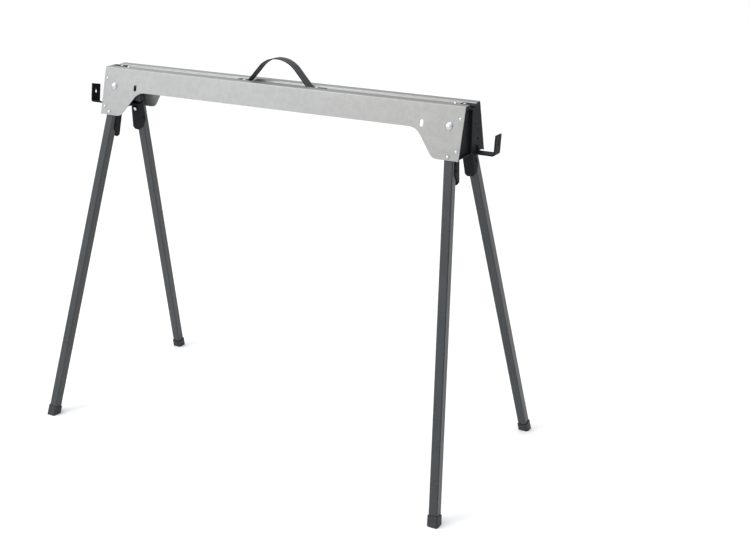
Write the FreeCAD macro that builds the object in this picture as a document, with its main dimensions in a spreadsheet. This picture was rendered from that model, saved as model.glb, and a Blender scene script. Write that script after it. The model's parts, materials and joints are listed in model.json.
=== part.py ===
import FreeCAD, Part
import math
import os
import Sketcher
from FreeCAD import Placement, Rotation, Vector

# Folding sawhorse: a folded sheet beam on four square-tube legs that fold flat under it.
# Millimetres. X runs along the beam, Y across it and Z up; the origin is on the floor under
# the middle of the beam. "front" is the -Y side and "right" is the +X end.

SIZES = [
    ("beam_length", 914.0, "length of the folded beam"),
    ("beam_height", 813.0, "floor to the working surface"),
    ("top_width", 69.0, "width of the top across both ridges"),
    ("flare", 15.4, "angle of each side panel from upright, degrees"),
    ("panel_end_drop", 109.5, "panel depth at the ends, measured down the panel"),
    ("panel_mid_drop", 51.5, "panel depth between the ends, measured down the panel"),
    ("sheet_gauge", 1.5, "thickness of the beam sheet"),
    ("beam_bend", 3.0, "outer radius of the top corners"),
    ("valley_width", 31.0, "width of the groove along the top"),
    ("valley_depth", 6.0, "depth of the groove along the top"),
    ("valley_slant", 2.0, "inward lean of each groove wall"),
    ("valley_bend", 1.7, "bend radius of the groove corners"),
    ("end_flat", 48.0, "length of the full-depth edge at each end"),
    ("arch_slope", 52.0, "slope of the panel edge from level, degrees"),
    ("arch_toe", 20.0, "radius where the slope meets the full-depth edge"),
    ("arch_crown", 35.0, "radius where the slope meets the shallow edge"),
    ("pivot_inset", 30.4, "beam end to leg pivot"),
    ("pivot_drop", 42.0, "top edge to leg pivot, down the panel"),
    ("pivot_diameter", 8.0, "leg pivot bolt"),
    ("running_gap", 0.05, "radial clearance of a turning fit"),
    ("leg_lean", 6.1, "outward lean of an open leg, degrees"),
    ("leg_size", 20.0, "outside width of the square leg tube"),
    ("leg_wall", 1.5, "wall of the leg tube"),
    ("leg_corner", 2.5, "outer corner radius of the leg tube"),
    ("leg_gap", 2.5, "beam panel to leg tube"),
    ("leg_top", 14.0, "leg tube above its pivot"),
    ("leg_end_gap", 8.5, "floor to the end of the tube, along the leg"),
    ("sleeve_wall", 2.0, "wall of the sleeve round the pivot bolt"),
    ("cap_wall", 2.0, "side wall of the foot cap"),
    ("cap_grip", 12.0, "length of tube held in the foot cap"),
    ("fit_gap", 0.1, "clearance between fixed pieces"),
    ("lock_drop", 61.0, "pivot to lock pin along the leg"),
    ("lock_diameter", 8.0, "lock pin"),
    ("lock_gap", 0.2, "radial clearance of the lock pin"),
    ("lock_dome", 2.6, "height of the rounded pin end beyond the panel"),
    ("lock_tail", 6.0, "diameter of the pin behind its collar"),
    ("lock_collar", 12.0, "diameter of the collar on the lock pin"),
    ("collar_depth", 7.0, "panel face to the collar"),
    ("collar_length", 2.0, "thickness of the collar and of the tail head"),
    ("tail_head", 8.0, "diameter of the head behind the lever"),
    ("slot_length", 15.0, "length of the slot that holds a folded leg"),
    ("spring_wire", 1.1, "wire of the lock spring"),
    ("spring_coils", 6.0, "number of coils in the lock spring"),
    ("lever_top", 47.0, "pivot to the upper end of the release lever"),
    ("lever_end", 115.0, "pivot to the lower end of the release lever"),
    ("lever_top_depth", 6.0, "leg tube to the lever web at its upper end"),
    ("lever_end_depth", 14.0, "leg tube to the lever web at its lower end"),
    ("lever_gauge", 1.5, "thickness of the lever sheet"),
    ("lever_side_gap", 0.4, "clearance between lever side and leg tube"),
    ("lever_overlap", 9.0, "lever side over the side of the leg tube"),
    ("lever_corner", 6.0, "cut across each lower corner of the lever"),
    ("lever_lip", 3.5, "height of the lever sides at its lower end"),
    ("lever_hold", 8.0, "full-height lever side below its pin"),
    ("lever_pin_drop", 88.0, "leg pivot to lever pin along the leg"),
    ("lever_pin_rise", 4.0, "lever pin inside the inner face of the tube"),
    ("lever_pin_diameter", 4.0, "lever pin"),
    ("bracket_gauge", 2.0, "thickness of the end bracket"),
    ("bracket_drop", 103.0, "top to the underside of the end bracket"),
    ("bracket_recess", 6.0, "depth of the recessed half of the bracket"),
    ("bracket_depth", 12.5, "length of the bracket side flange"),
    ("tongue_length", 27.0, "length of the bracket tongue in the groove"),
    ("tongue_lip", 9.0, "bracket tongue beyond the beam end"),
    ("tongue_thickness", 4.0, "thickness of the bracket tongue"),
    ("tongue_rivet_near", 18.4, "beam end to the rivet through the tongue"),
    ("tongue_rivet_far", 38.4, "beam end to the rivet through the groove floor alone"),
    ("tongue_width", 23.0, "width of the bracket tongue"),
    ("rivet_inset", 8.0, "beam end to the side rivets"),
    ("rivet_drop_high", 26.0, "top edge to the upper side rivets"),
    ("rivet_drop_low", 91.0, "top edge to the lower side rivets"),
    ("rivet_diameter", 4.0, "rivet shank"),
    ("rivet_head", 6.2, "head of a side rivet"),
    ("groove_rivet_head", 7.5, "head of a rivet in the groove"),
    ("groove_rivet_rise", 1.6, "height of a rivet head on a bracket tongue"),
    ("hook_width", 27.0, "width of the hook bar"),
    ("hook_gauge", 3.0, "thickness of the hook bar"),
    ("hook_reach", 44.0, "beam end to the outer face of the hook"),
    ("hook_height", 43.0, "underside of the arm to the tip of the hook"),
    ("hook_tab", 20.0, "height of the tab on the bracket"),
    ("hook_slot_play", 0.5, "clearance of the hook in the slot of the bracket"),
    ("hook_lean", 3.0, "outward lean of the hook, degrees"),
    ("hook_bend", 6.0, "outer bend radius of the hook"),
    ("hook_root_bend", 3.6, "outer bend radius where the arm meets a tab inside the bracket"),
    ("hook_hole", 8.0, "hole in the hook"),
    ("hook_hole_drop", 18.0, "tip of the hook to its hole"),
    ("hook_bolt_side", 29.0, "middle of the beam to the hook bolt"),
    ("hook_bolt_low", 94.6, "top to the lower hook bolt hole"),
    ("hook_bolt_high", 76.0, "top to the upper hook bolt hole"),
    ("hook_bolt_diameter", 6.0, "hook bolt"),
    ("hook_roll", 12.0, "turn of the left hook on its bolt, degrees"),
    ("strap_width", 25.0, "width of the handle webbing"),
    ("strap_thickness", 2.2, "thickness of the handle webbing"),
    ("strap_span", 156.0, "distance between the feet of the handle arch"),
    ("strap_rise", 58.0, "groove floor to the middle of the webbing at its top"),
    ("strap_slope", 48.0, "slope of the arch sides, degrees"),
    ("strap_foot_bend", 8.0, "bend radius at the foot of the arch"),
    ("strap_tail", 34.0, "length of webbing lying in the groove at each end"),
    ("strap_rivet_inset", 15.0, "foot of the arch to the rivet"),
    ("plate_thickness", 1.2, "thickness of the plates under the handle"),
    ("plate_width", 22.0, "width of the plates under the handle"),
]

doc = FreeCAD.newDocument("folding_sawhorse")
sheet = doc.addObject("Spreadsheet::Sheet", "Sizes")
for row, (alias, value, meaning) in enumerate(SIZES, 1):
    sheet.set(f"A{row}", meaning)
    sheet.set(f"B{row}", str(value))
    sheet.setAlias(f"B{row}", alias)
doc.recompute()

X_AXIS = Vector(1, 0, 0)
Y_AXIS = Vector(0, 1, 0)
Z_AXIS = Vector(0, 0, 1)
ENDS = {"right": 1, "left": -1}
SIDES = {"front": -1, "back": 1}


def size(alias):
    """Value of one driving dimension."""
    return float(sheet.get(alias))


def sine(alias):
    return math.sin(math.radians(size(alias)))


def cosine(alias):
    return math.cos(math.radians(size(alias)))


def tangent(alias):
    return math.tan(math.radians(size(alias)))


# ---------------------------------------------------------------- sketch and feature helpers

def new_body(label):
    body = doc.addObject("PartDesign::Body", label)
    body.Label = label
    return body


def new_sketch(body, role, offset=Placement()):
    """Sketch on one of the body's own origin planes, moved by offset within that plane's frame."""
    plane = next(item for item in body.Origin.OriginFeatures if item.Role == role)
    sketch = body.newObject("Sketcher::SketchObject", body.Name + "_sketch")
    sketch.AttachmentSupport = [(plane, "")]
    sketch.MapMode = "FlatFace"
    sketch.AttachmentOffset = offset
    return sketch


def lifted(distance):
    """Offset along a sketch's own normal."""
    return Placement(Vector(0, 0, distance), Rotation())


def draw_outline(sketch, points, radii):
    """Closed outline through the points, with the corner at each point rounded to its radius."""
    count = len(points)
    starts = []
    ends = []
    for index in range(count):
        corner = Vector(*points[index], 0)
        before = (Vector(*points[index - 1], 0) - corner).normalize()
        after = (Vector(*points[(index + 1) % count], 0) - corner).normalize()
        half_angle = before.getAngle(after) / 2
        setback = radii[index] / math.tan(half_angle)
        starts.append(corner + before * setback)
        ends.append(corner + after * setback)
        if radii[index] > 0:
            middle = (before + after).normalize()
            reach = radii[index] / math.sin(half_angle) - radii[index]
            arc = Part.Arc(starts[-1], corner + middle * reach, ends[-1])
            sketch.addGeometry(arc, False)
    for index in range(count):
        line = Part.LineSegment(ends[index], starts[(index + 1) % count])
        sketch.addGeometry(line, False)


def offset_line(points, radii, distance):
    """Open line moved to its left by distance, with its bend radii changed to suit."""
    moved = []
    bends = []
    for index, point in enumerate(points):
        here = Vector(*point, 0)
        ahead = Vector(*points[min(index + 1, len(points) - 1)], 0) - here
        behind = here - Vector(*points[max(index - 1, 0)], 0)
        ahead = (ahead if ahead.Length > 0 else behind).normalize()
        behind = (behind if behind.Length > 0 else ahead).normalize()
        turn = behind.cross(ahead).z
        left = (Z_AXIS.cross(ahead) + Z_AXIS.cross(behind)).normalize()
        stretch = distance / left.dot(Z_AXIS.cross(ahead))
        spot = here + left * stretch
        moved.append((spot.x, spot.y))
        bends.append(radii[index] - math.copysign(distance, turn) if radii[index] > 0 else 0)
    return moved, bends


def draw_strip(sketch, points, radii, left, right):
    """Closed outline of a bent strip that reaches left and right of a guiding line."""
    left_points, left_bends = offset_line(points, radii, left)
    right_points, right_bends = offset_line(points, radii, -right)
    draw_outline(sketch, left_points + right_points[::-1], left_bends + right_bends[::-1])


def bind(sketch, index, expression):
    sketch.setExpression(f"Constraints[{index}]", expression)


def draw_rectangle(sketch, left, bottom, width, height):
    """Rectangle whose four sizes are expressions in the size sheet."""
    first = sketch.GeometryCount
    corners = [Vector(0, 0, 0), Vector(9, 0, 0), Vector(9, 7, 0), Vector(0, 7, 0)]
    for index in range(4):
        line = Part.LineSegment(corners[index], corners[(index + 1) % 4])
        sketch.addGeometry(line, False)
    for index in range(4):
        constraint = ("Coincident", first + index, 2, first + (index + 1) % 4, 1)
        sketch.addConstraint(Sketcher.Constraint(*constraint))
    for index, direction in enumerate(["Horizontal", "Vertical", "Horizontal", "Vertical"]):
        sketch.addConstraint(Sketcher.Constraint(direction, first + index))
    across = sketch.addConstraint(Sketcher.Constraint("DistanceX", first, 1, first, 2, 9.0))
    upward = sketch.addConstraint(Sketcher.Constraint("DistanceY", first + 1, 1, first + 1, 2, 7.0))
    start_x = sketch.addConstraint(Sketcher.Constraint("DistanceX", -1, 1, first, 1, 0.0))
    start_y = sketch.addConstraint(Sketcher.Constraint("DistanceY", -1, 1, first, 1, 0.0))
    bind(sketch, across, width)
    bind(sketch, upward, height)
    bind(sketch, start_x, left)
    bind(sketch, start_y, bottom)


def draw_circle(sketch, x_expression, y_expression, diameter):
    """Circle whose centre and diameter are expressions in the size sheet."""
    index = sketch.addGeometry(Part.Circle(Vector(1, 1, 0), Z_AXIS, 1.0), False)
    across = sketch.addConstraint(Sketcher.Constraint("DistanceX", -1, 1, index, 3, 1.0))
    upward = sketch.addConstraint(Sketcher.Constraint("DistanceY", -1, 1, index, 3, 1.0))
    wide = sketch.addConstraint(Sketcher.Constraint("Diameter", index, 2.0))
    bind(sketch, across, x_expression)
    bind(sketch, upward, y_expression)
    bind(sketch, wide, diameter)


def pad(body, sketch, length, symmetric=False, reverse=False):
    feature = body.newObject("PartDesign::Pad", body.Name + "_pad")
    feature.Profile = sketch
    feature.SideType = "Symmetric" if symmetric else "One side"
    feature.Reversed = reverse
    feature.setExpression("Length", length)
    doc.recompute()
    return feature


def cut(body, sketch, length, symmetric=False, reverse=False):
    """Pocket that must remove material."""
    before = body.Shape.Volume
    feature = body.newObject("PartDesign::Pocket", body.Name + "_pocket")
    feature.Profile = sketch
    feature.SideType = "Symmetric" if symmetric else "One side"
    feature.Reversed = reverse
    feature.setExpression("Length", length)
    doc.recompute()
    if not body.Shape.Volume < before:
        raise RuntimeError(f"{feature.Label} cuts nothing")
    return feature


def revolve(body, sketch):
    """Full turn about the sketch's own vertical axis."""
    feature = body.newObject("PartDesign::Revolution", body.Name + "_turn")
    feature.Profile = sketch
    feature.ReferenceAxis = (sketch, ["V_Axis"])
    feature.Angle = 360
    doc.recompute()
    return feature


# ---------------------------------------------------------------- places

def panel_frame(side):
    """Frame on a side panel's outer face at its top edge: X level, Y up the panel, Z outward."""
    outward = Vector(0, side * cosine("flare"), sine("flare"))
    upward = Vector(0, -side * sine("flare"), cosine("flare"))
    level = upward.cross(outward)
    corner = Vector(0, side * size("top_width") / 2, size("beam_height"))
    return Placement(corner, Rotation(level, upward, outward, "XYZ"))


def pivot_place(side, end):
    """Leg frame at a pivot: Y up the leg, Z out of the panel."""
    frame = panel_frame(side)
    level = frame.Rotation.multVec(X_AXIS)
    along = end * level.x * (size("beam_length") / 2 - size("pivot_inset"))
    lean = size("leg_lean") * end * level.x
    local = Placement(Vector(along, -size("pivot_drop"), 0), Rotation(Z_AXIS, lean))
    return frame.multiply(local)


def leg_places():
    """Name and placement of each leg."""
    for side_name, side in SIDES.items():
        for end_name, end in ENDS.items():
            yield f"{side_name}_{end_name}", pivot_place(side, end)


def end_place(end):
    """Frame at a beam end: X outward from the end face, origin on the working surface."""
    turn = 0 if end > 0 else 180
    spot = Vector(end * size("beam_length") / 2, 0, size("beam_height"))
    return Placement(spot, Rotation(Z_AXIS, turn))


def inner_half_width(drop):
    """Middle of the beam to a panel's inner face, at a depth below the working surface."""
    return size("top_width") / 2 + drop * tangent("flare") - size("sheet_gauge") / cosine("flare")


def panel_offset(side):
    """The panel frame, given within the frame of an XZ sketch plane."""
    turn = Rotation(Y_AXIS, 180 if side > 0 else 0)
    tilt = Rotation(X_AXIS, -size("flare"))
    spot = Vector(0, size("beam_height"), -side * size("top_width") / 2)
    return Placement(spot, turn.multiply(tilt))


# ---------------------------------------------------------------- beam

def section_line():
    """Outer face of the beam sheet in section, from the front panel's foot to the back one's."""
    top = size("beam_height")
    half_top = size("top_width") / 2
    foot = (half_top + size("panel_end_drop") * sine("flare"), top - size("panel_end_drop") * cosine("flare"))
    valley_top = size("valley_width") / 2
    floor_half = valley_top - size("valley_slant")
    floor = top - size("valley_depth")
    right_half = [(floor_half, floor), (valley_top, top), (half_top, top), foot]
    points = [(-y, z) for y, z in right_half[::-1]] + right_half
    bend = size("beam_bend")
    crease = size("valley_bend")
    ridge = crease + size("sheet_gauge")
    radii = [0, bend, ridge, crease, crease, ridge, bend, 0]
    return points, radii


def arch_outline():
    """Cut-away under the middle of both panels, as (x, z)."""
    top = size("beam_height")
    shallow = top - size("panel_mid_drop") * cosine("flare")
    deep = top - size("panel_end_drop") * cosine("flare")
    slope = math.radians(size("arch_slope"))
    half_turn = math.tan(slope / 2)
    toe_x = size("beam_length") / 2 - size("end_flat") - size("arch_toe") * half_turn
    crown_x = toe_x - (shallow - deep) / math.tan(slope)
    low = deep - size("arch_toe")
    rim_x = size("beam_length") / 2 - size("end_flat") + size("arch_toe")
    toe = (toe_x, deep)
    rim = (rim_x, deep)
    half = [(crown_x, shallow), toe, rim, (rim_x, low)]
    points = half + [(-x, z) for x, z in half[::-1]]
    bends = [size("arch_crown"), size("arch_toe"), 0, 0]
    return points, bends + bends[::-1]


def beam_shell():
    body = new_body("beam_shell")
    section = new_sketch(body, "YZ_Plane")
    points, radii = section_line()
    draw_strip(section, points, radii, 0, size("sheet_gauge"))
    pad(body, section, "Sizes.beam_length", symmetric=True)
    arch = new_sketch(body, "XZ_Plane")
    draw_outline(arch, *arch_outline())
    cut(body, arch, "Sizes.top_width * 4", symmetric=True)
    for side in SIDES.values():
        panel_holes(body, side)
    groove_holes(body)
    return body


def panel_holes(body, side):
    """Pivot, lock and rivet holes, and the slots for folded legs, through one panel."""
    sketch = new_sketch(body, "XZ_Plane", panel_offset(side))
    pivot_x = "(Sizes.beam_length / 2 - Sizes.pivot_inset)"
    lock_x = f"({pivot_x} + Sizes.lock_drop * sin(Sizes.leg_lean * 1 deg))"
    lock_y = "(-Sizes.pivot_drop - Sizes.lock_drop * cos(Sizes.leg_lean * 1 deg))"
    rivet_x = "(Sizes.beam_length / 2 - Sizes.rivet_inset)"
    slot_width = "(Sizes.lock_diameter + 2 * Sizes.lock_gap)"
    for end in ENDS.values():
        pivot_size = "Sizes.pivot_diameter + 2 * Sizes.running_gap"
        draw_circle(sketch, f"{end} * {pivot_x}", "-Sizes.pivot_drop", pivot_size)
        draw_circle(sketch, f"{end} * {lock_x}", lock_y, slot_width)
        for drop in ("Sizes.rivet_drop_high", "Sizes.rivet_drop_low"):
            draw_circle(sketch, f"{end} * {rivet_x}", f"-{drop}", "Sizes.rivet_diameter")
        draw_slot(sketch, end)
    cut(body, sketch, "Sizes.sheet_gauge * 4", symmetric=True)


def draw_slot(sketch, end):
    """Upright round-ended slot where the lock pin of a folded leg seats."""
    radius = size("lock_diameter") / 2 + size("lock_gap")
    middle = end * (size("beam_length") / 2 - size("pivot_inset") - size("lock_drop"))
    centre = -size("pivot_drop")
    half = size("slot_length") / 2 - radius
    for direction in (1, -1):
        ending = centre + direction * half
        start = Vector(middle - radius, ending, 0)
        crown = Vector(middle, ending + direction * radius, 0)
        finish = Vector(middle + radius, ending, 0)
        sketch.addGeometry(Part.Arc(start, crown, finish), False)
        flank = middle + direction * radius
        line = Part.LineSegment(Vector(flank, centre - half, 0), Vector(flank, centre + half, 0))
        sketch.addGeometry(line, False)


def strap_rivet_x():
    return size("strap_span") / 2 + size("strap_rivet_inset")


def groove_holes(body):
    """Rivet holes in the groove floor, for the tongues and the handle."""
    sketch = new_sketch(body, "XY_Plane", lifted(size("beam_height")))
    insets = [size("tongue_rivet_near"), size("tongue_rivet_far")]
    spots = [size("beam_length") / 2 - inset for inset in insets]
    spots.append(strap_rivet_x())
    for spot in spots:
        for end in ENDS.values():
            hole = Part.Circle(Vector(end * spot, 0, 0), Z_AXIS, size("rivet_diameter") / 2)
            sketch.addGeometry(hole, False)
    cut(body, sketch, "Sizes.valley_depth * 2")


# ---------------------------------------------------------------- end brackets

def bracket_outline():
    """Face of the end bracket, inside the panels and under the groove, as (y, drop)."""
    bottom = size("bracket_drop")
    top = size("sheet_gauge") + size("fit_gap")
    gap = size("fit_gap")
    groove = size("valley_width") / 2 + size("sheet_gauge") + size("valley_bend") + gap
    under = size("valley_depth") + size("sheet_gauge") + gap
    shoulder = top + size("beam_bend")
    half = [
        (groove, -under),
        (groove, -top),
        (inner_half_width(top) - size("beam_bend"), -top),
        (inner_half_width(shoulder) - gap, -shoulder),
        (inner_half_width(bottom) - gap, -bottom),
    ]
    return half + [(-y, z) for y, z in half[::-1]]


def half_outline(side, inset):
    """One half of the bracket face, drawn in from its rim by inset."""
    bottom = size("bracket_drop") - inset
    gap = size("fit_gap") + inset / cosine("flare")
    under = size("valley_depth") + size("sheet_gauge") + size("fit_gap") + inset
    middle = size("bracket_gauge") / 2
    points = [
        (side * middle, -under),
        (side * (inner_half_width(under) - gap), -under),
        (side * (inner_half_width(bottom) - gap), -bottom),
        (side * middle, -bottom),
    ]
    return points


def end_bracket(end_name, end):
    """Pressed plate whose one half is flush with the beam end and whose other half is recessed."""
    body = new_body(f"end_bracket_{end_name}")
    block = new_sketch(body, "YZ_Plane")
    face = bracket_outline()
    draw_outline(block, face, [0] * len(face))
    pad(body, block, "Sizes.bracket_depth", reverse=True)
    gauge = size("bracket_gauge")
    flush_side = 1
    hollows = [
        (flush_side, -gauge, "Sizes.bracket_depth"),
        (-flush_side, -size("bracket_recess") - gauge, "Sizes.bracket_depth"),
    ]
    for side, start, depth in hollows:
        sketch = new_sketch(body, "YZ_Plane", lifted(start))
        draw_outline(sketch, half_outline(side, gauge), [0] * 4)
        cut(body, sketch, depth)
    recess = new_sketch(body, "YZ_Plane")
    draw_outline(recess, half_outline(-flush_side, gauge), [0] * 4)
    cut(body, recess, "Sizes.bracket_recess")
    trim_bracket_foot(body)
    bracket_slot(body)
    bracket_holes(body)
    bracket_tongue(body)
    body.Placement = end_place(end)
    return body


def trim_bracket_foot(body):
    """Keeps the web and the bottom clear of the levers: only the side flanges run full depth."""
    sketch = new_sketch(body, "YZ_Plane", lifted(-size("bracket_recess") - size("bracket_gauge")))
    rim = size("bracket_gauge") * 1.5
    bottom = size("bracket_drop") + rim
    low = inner_half_width(bottom) + rim
    edge = size("rivet_drop_low") + size("rivet_head")
    start = edge * cosine("flare")
    wide = inner_half_width(start) + rim
    points = [(-wide, -start), (wide, -start), (low, -bottom), (-low, -bottom)]
    draw_outline(sketch, points, [0] * 4)
    cut(body, sketch, "Sizes.bracket_depth")


def bracket_slot(body):
    """Slot in the bottom, behind the flush half, for a hook whose tab is inside the bracket."""
    sketch = new_sketch(body, "XY_Plane", lifted(-size("bracket_drop")))
    near = -size("bracket_gauge")
    far = near - size("hook_gauge") - size("hook_slot_play")
    middle = size("hook_bolt_side")
    half = size("hook_width") / 2 + size("hook_slot_play")
    points = [(far, middle - half), (near, middle - half), (near, middle + half), (far, middle + half)]
    draw_outline(sketch, points, [0] * 4)
    cut(body, sketch, "Sizes.bracket_gauge", reverse=True)


def bracket_holes(body):
    """Rivet holes in the side flanges and bolt holes in the flush half."""
    for side in SIDES.values():
        turn = Rotation(Y_AXIS, 180 if side > 0 else 0)
        tilt = Rotation(X_AXIS, -size("flare"))
        spot = Vector(0, 0, -side * size("top_width") / 2)
        sketch = new_sketch(body, "XZ_Plane", Placement(spot, turn.multiply(tilt)))
        for drop in ("Sizes.rivet_drop_high", "Sizes.rivet_drop_low"):
            draw_circle(sketch, f"{side} * Sizes.rivet_inset", f"-{drop}", "Sizes.rivet_diameter")
        cut(body, sketch, "Sizes.bracket_gauge * 6", symmetric=True)
    face = new_sketch(body, "YZ_Plane")
    for drop in ("Sizes.hook_bolt_low", "Sizes.hook_bolt_high"):
        bolt_size = "Sizes.hook_bolt_diameter + 2 * Sizes.fit_gap"
        draw_circle(face, "Sizes.hook_bolt_side", f"-{drop}", bolt_size)
    spare = "Sizes.rivet_diameter"
    draw_circle(face, "Sizes.hook_bolt_side / 2", "-Sizes.hook_bolt_high * 0.57", spare)
    draw_circle(face, "Sizes.hook_bolt_side * 0.93", "-Sizes.hook_bolt_high * 0.76", spare)
    cut(body, face, "Sizes.bracket_gauge * 2", symmetric=True)


def bracket_tongue(body):
    """Thick tongue that lies on the groove floor and stands a little beyond the beam end."""
    thickness = size("tongue_thickness")
    root = size("sheet_gauge")
    floor = -size("valley_depth")
    low = floor - root - size("bracket_gauge") * 2
    length = size("tongue_length")
    lip = size("tongue_lip")
    sketch = new_sketch(body, "XZ_Plane")
    points = [
        (-length, floor),
        (-length, floor + thickness),
        (lip, floor + thickness),
        (lip, floor),
        (root, floor),
        (root, low),
        (0, low),
        (0, floor),
    ]
    draw_outline(sketch, points, [0] * 8)
    pad(body, sketch, "Sizes.tongue_width", symmetric=True)
    hole = new_sketch(body, "XY_Plane")
    draw_circle(hole, "-Sizes.tongue_rivet_near", "0 mm", "Sizes.rivet_diameter")
    cut(body, hole, "Sizes.valley_depth * 1.2")


# ---------------------------------------------------------------- hooks

def tab_depth(end):
    """Bracket face to the back of the hook tab: the right hook's tab is inside the bracket."""
    if end > 0:
        return size("bracket_gauge") + size("fit_gap") + size("hook_gauge")
    return 0


def hook_line(end):
    """Outer line of the hook bar from its tab to its tip, from the bolt centre, as (x, z)."""
    arm_low = -size("hook_tab") * 0.6
    tab_top = arm_low + size("hook_tab")
    tip = arm_low + size("hook_height")
    outer = size("hook_reach")
    back = -tab_depth(end)
    return [
        (back, tab_top),
        (back, arm_low),
        (outer, arm_low),
        (outer + (tip - arm_low) * tangent("hook_lean"), tip),
    ]


def hook(end_name, end):
    body = new_body(f"hook_{end_name}")
    points = hook_line(end)
    gauge = size("hook_gauge")
    bend = size("hook_bend")
    root_bend = size("hook_root_bend") if end > 0 else bend
    profile = new_sketch(body, "XZ_Plane")
    draw_strip(profile, points, [0, root_bend, bend, 0], gauge, 0)
    pad(body, profile, "Sizes.hook_width", symmetric=True)
    tip = points[-1][1]
    holes = new_sketch(body, "YZ_Plane", lifted(size("hook_reach") - gauge * 2))
    centre = Vector(0, tip - size("hook_hole_drop"), 0)
    holes.addGeometry(Part.Circle(centre, Z_AXIS, size("hook_hole") / 2), False)
    cut(body, holes, "Sizes.hook_gauge * 5", reverse=True)
    bolt_hole = new_sketch(body, "YZ_Plane")
    bolt_radius = size("hook_bolt_diameter") / 2 + size("fit_gap")
    bolt_hole.addGeometry(Part.Circle(Vector(), Z_AXIS, bolt_radius), False)
    cut(body, bolt_hole, "Sizes.hook_gauge * 4", symmetric=True)
    body.Placement = hook_place(end)
    return body


def hook_place(end):
    """Hook frame at its bolt; the left hook is turned a little on the upper hole's bolt."""
    drop = size("hook_bolt_low") if end > 0 else size("hook_bolt_high")
    roll = 0 if end > 0 else size("hook_roll")
    local = Placement(Vector(0, size("hook_bolt_side"), -drop), Rotation(X_AXIS, roll))
    return end_place(end).multiply(local)


# ---------------------------------------------------------------- fasteners

def dome_fastener(name, diameter, head, rise, length):
    """Round-headed shank below a domed head that sits on the XY plane."""
    body = new_body(name)
    sketch = new_sketch(body, "XZ_Plane")
    crown = Vector(0, rise, 0)
    rim = Vector(head / 2, rise * 0.25, 0)
    shoulder = Vector(head * 0.33, rise * 0.8, 0)
    sketch.addGeometry(Part.Arc(crown, shoulder, rim), False)
    corners = [rim, Vector(head / 2, 0, 0), Vector(diameter / 2, 0, 0)]
    corners += [Vector(diameter / 2, -length, 0), Vector(0, -length, 0), crown]
    for start, finish in zip(corners, corners[1:]):
        sketch.addGeometry(Part.LineSegment(start, finish), False)
    revolve(body, sketch)
    return body


def ring(name, hole, outside, thickness):
    """Washer, spacer or sleeve, downward from the XY plane."""
    outer = doc.addObject("Part::Cylinder", name + "_disc")
    outer.Radius = outside / 2
    outer.Height = thickness
    inner = doc.addObject("Part::Cylinder", name + "_bore")
    inner.Radius = hole / 2
    inner.Height = thickness
    result = doc.addObject("Part::Cut", name)
    result.Base = outer
    result.Tool = inner
    result.Placement = Placement(Vector(0, 0, -thickness), Rotation())
    doc.recompute()
    return result


def hex_nut(name, hole, flats, thickness):
    """Hexagonal nut, downward from the XY plane."""
    prism = doc.addObject("Part::Prism", name + "_hex")
    prism.Polygon = 6
    prism.Circumradius = flats / math.sqrt(3)
    prism.Height = thickness
    inner = doc.addObject("Part::Cylinder", name + "_bore")
    inner.Radius = hole / 2
    inner.Height = thickness
    result = doc.addObject("Part::Cut", name)
    result.Base = prism
    result.Tool = inner
    result.Placement = Placement(Vector(0, 0, -thickness), Rotation())
    doc.recompute()
    return result


def placed(pattern, place):
    """Copy of the pattern piece's shape, moved to a place."""
    shape = pattern.Shape.copy()
    shape.Placement = place.multiply(shape.Placement)
    return shape


def compound(name, shapes):
    feature = doc.addObject("Part::Feature", name)
    feature.Label = name
    feature.Shape = Part.makeCompound(shapes)
    return feature


def group(name, pattern, places):
    """One node that holds a copy of the pattern piece at each place."""
    return compound(name, [placed(pattern, place) for place in places])


def sunk(place, depth):
    """The same frame, moved back along its own Z."""
    return place.multiply(Placement(Vector(0, 0, -depth), Rotation()))


def pivot_hardware():
    """Bolt, spacer, washer and nut at each leg pivot."""
    bolt = size("pivot_diameter")
    gauge = size("sheet_gauge")
    gap = size("running_gap")
    inner_face = gauge + size("leg_gap") + size("leg_size")
    washer = gauge
    nut = bolt * 0.8
    nut_face = inner_face + 2 * gap + washer
    bolt_length = nut_face + nut + gauge
    bolt_piece = dome_fastener("pivot_bolt_pattern", bolt, bolt * 2.08, bolt * 0.55, bolt_length)
    spacer_piece = ring("pivot_spacer_pattern", bolt, bolt * 2, size("leg_gap") - gap)
    washer_piece = ring("pivot_washer_pattern", bolt, bolt * 2, washer)
    nut_piece = hex_nut("pivot_nut_pattern", bolt, bolt * 1.6, nut)
    places = [place for name, place in leg_places()]
    return [
        group("pivot_bolts", bolt_piece, places),
        group("pivot_spacers", spacer_piece, [sunk(place, gauge) for place in places]),
        group("pivot_washers", washer_piece, [sunk(place, inner_face + 2 * gap) for place in places]),
        group("pivot_nuts", nut_piece, [sunk(place, nut_face) for place in places]),
    ]


def side_rivets():
    """Rivets that hold the bracket flanges to the panels."""
    grip = size("sheet_gauge") + size("bracket_gauge") + size("fit_gap")
    piece = dome_fastener("side_rivet_pattern", size("rivet_diameter"), size("rivet_head"), 1.6, grip)
    places = []
    for side in SIDES.values():
        for end in ENDS.values():
            for drop in (size("rivet_drop_high"), size("rivet_drop_low")):
                along = end * (size("beam_length") / 2 - size("rivet_inset"))
                places.append(panel_frame(side).multiply(Placement(Vector(along, -drop, 0), Rotation())))
    return group("bracket_rivets", piece, places)


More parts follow.
